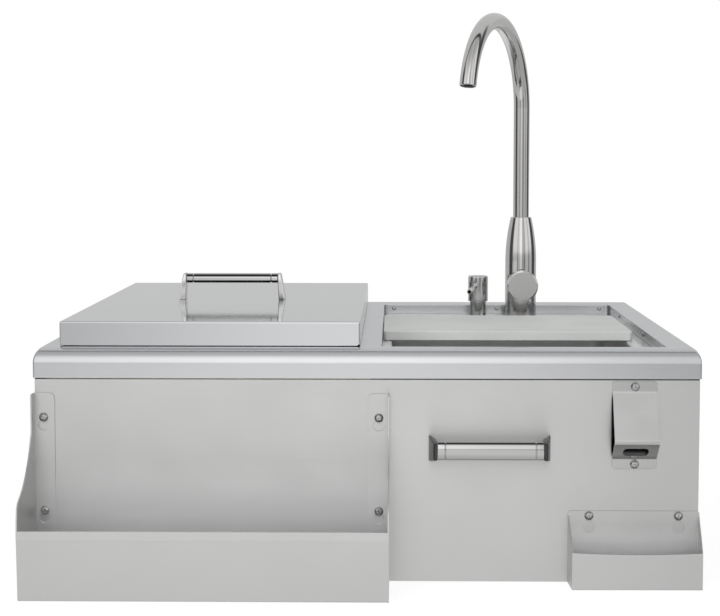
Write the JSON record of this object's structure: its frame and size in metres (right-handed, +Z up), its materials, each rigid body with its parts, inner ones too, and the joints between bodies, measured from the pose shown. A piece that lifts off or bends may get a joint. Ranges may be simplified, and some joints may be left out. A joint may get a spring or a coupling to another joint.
{
  "type": "bar sink with ice bin",
  "caption": "Drop-in outdoor bar sink with lidded insulated ice bin, recessed bowl and cutting board, swan-neck tap, soap pump, bottle rail, cap catcher, opener and towel bar.",
  "frame": {"origin": "middle of the whole unit's footprint, on the surface it stands on", "axes": "+X to the right seen from the front, +Y to the back, +Z up; the bottle rail is at the front left"},
  "size_m": [0.762, 0.7704, 0.6781],
  "materials": {
    "deck_steel": "fine brushed, nearly polished",
    "panel_steel": "satin, brushed level",
    "inner_steel": "satin",
    "lid_steel": "polished, fine brush marks",
    "hung_steel": "satin, brushed level",
    "opener_steel": "polished",
    "tap_steel": "brushed, satin nickel look",
    "grip_chrome": "polished",
    "arm_steel": "dark satin",
    "screw_steel": "bright",
    "drain_steel": "polished",
    "fitting_brass": "as machined",
    "board_plastic": "fine pebbled",
    "foam": "closed cell",
    "seal_rubber": "matt",
    "valve_plastic": "moulded",
    "bottle_plastic": "translucent"
  },
  "bodies": {
    "cabinet": {"top_deck": "deck_steel", "front_panel": "panel_steel", "left_panel": "panel_steel", "right_panel": "panel_steel", "back_panel": "panel_steel", "bottom_panel": "inner_steel", "ice_bin_liner": "inner_steel", "sink_pan": "inner_steel", "sink_bowl": "inner_steel", "bottle_opener": "opener_steel", "tap_body": "tap_steel", "soap_pump_collar": "tap_steel", "towel_bar": "grip_chrome", "towel_bar_left_arm": "arm_steel", "towel_bar_right_arm": "arm_steel", "rail_screw_left_upper": "screw_steel", "rail_screw_left_lower": "screw_steel", "rail_screw_right_upper": "screw_steel", "rail_screw_right_lower": "screw_steel", "catcher_screw_left": "screw_steel", "catcher_screw_right": "screw_steel", "opener_screw_upper": "screw_steel", "opener_screw_lower": "screw_steel", "recess_screw_back_1": "screw_steel", "recess_screw_back_2": "screw_steel", "recess_screw_back_3": "screw_steel", "recess_screw_right_1": "screw_steel", "recess_screw_right_2": "screw_steel", "strainer_cup": "drain_steel", "sink_tailpiece": "drain_steel", "ice_bin_drain": "drain_steel", "ice_bin_drain_nut": "fitting_brass", "strainer_locknut": "fitting_brass", "tap_shank": "fitting_brass", "tap_nut": "fitting_brass", "ice_bin_insulation": "foam", "strainer_gasket": "seal_rubber", "tap_gasket": "seal_rubber", "tap_cartridge": "valve_plastic", "soap_pump_nut": "valve_plastic", "soap_bottle": "bottle_plastic", "soap_dip_tube": "bottle_plastic"},
    "lid": {"lid_skin": "lid_steel", "lid_foam": "foam", "lid_inner_pan": "inner_steel", "lid_gasket": "seal_rubber", "lid_handle_bar": "grip_chrome", "lid_handle_left_arm": "arm_steel", "lid_handle_right_arm": "arm_steel"},
    "board": {"cutting_board": "board_plastic"},
    "spout": {"tap_spout": "tap_steel", "tap_aerator": "valve_plastic"},
    "knob": {"tap_knob": "tap_steel"},
    "basket": {"strainer_basket": "drain_steel"},
    "pump_head": {"soap_pump_head": "tap_steel"},
    "rail": {"speed_rail": "hung_steel"},
    "catcher": {"cap_catcher": "hung_steel"}
  },
  "joints": [
    {"name": "lid_lift", "type": "slide", "parent": "cabinet", "child": "lid", "axis": [0, 0, 1], "range_m": [0, 0.2]},
    {"name": "board_slide", "type": "slide", "parent": "cabinet", "child": "board", "axis": [0, -1, 0], "range_m": [-0.1, 0.184]},
    {"name": "spout_swivel", "type": "hinge", "parent": "cabinet", "child": "spout", "pos_m": [0.2115, 0.2852, 0.3985], "axis": [0, 0, 1], "range_deg": [-70, 110]},
    {"name": "knob_turn", "type": "hinge", "parent": "cabinet", "child": "knob", "pos_m": [0.2115, 0.2522, 0.303], "axis": [0, -1, 0], "range_deg": [0, 90]},
    {"name": "basket_lift", "type": "slide", "parent": "cabinet", "child": "basket", "axis": [0, 0, 1], "range_m": [0, 0.12]},
    {"name": "pump_press", "type": "slide", "parent": "cabinet", "child": "pump_head", "axis": [0, 0, -1], "range_m": [0, 0.014], "stiffness_N_per_m": 400, "springref_m": -0.01},
    {"name": "rail_lift", "type": "slide", "parent": "cabinet", "child": "rail", "axis": [0, 0, 1], "range_m": [0, 0.0087]},
    {"name": "catcher_lift", "type": "slide", "parent": "cabinet", "child": "catcher", "axis": [0, 0, 1], "range_m": [0, 0.013]}
  ]
}
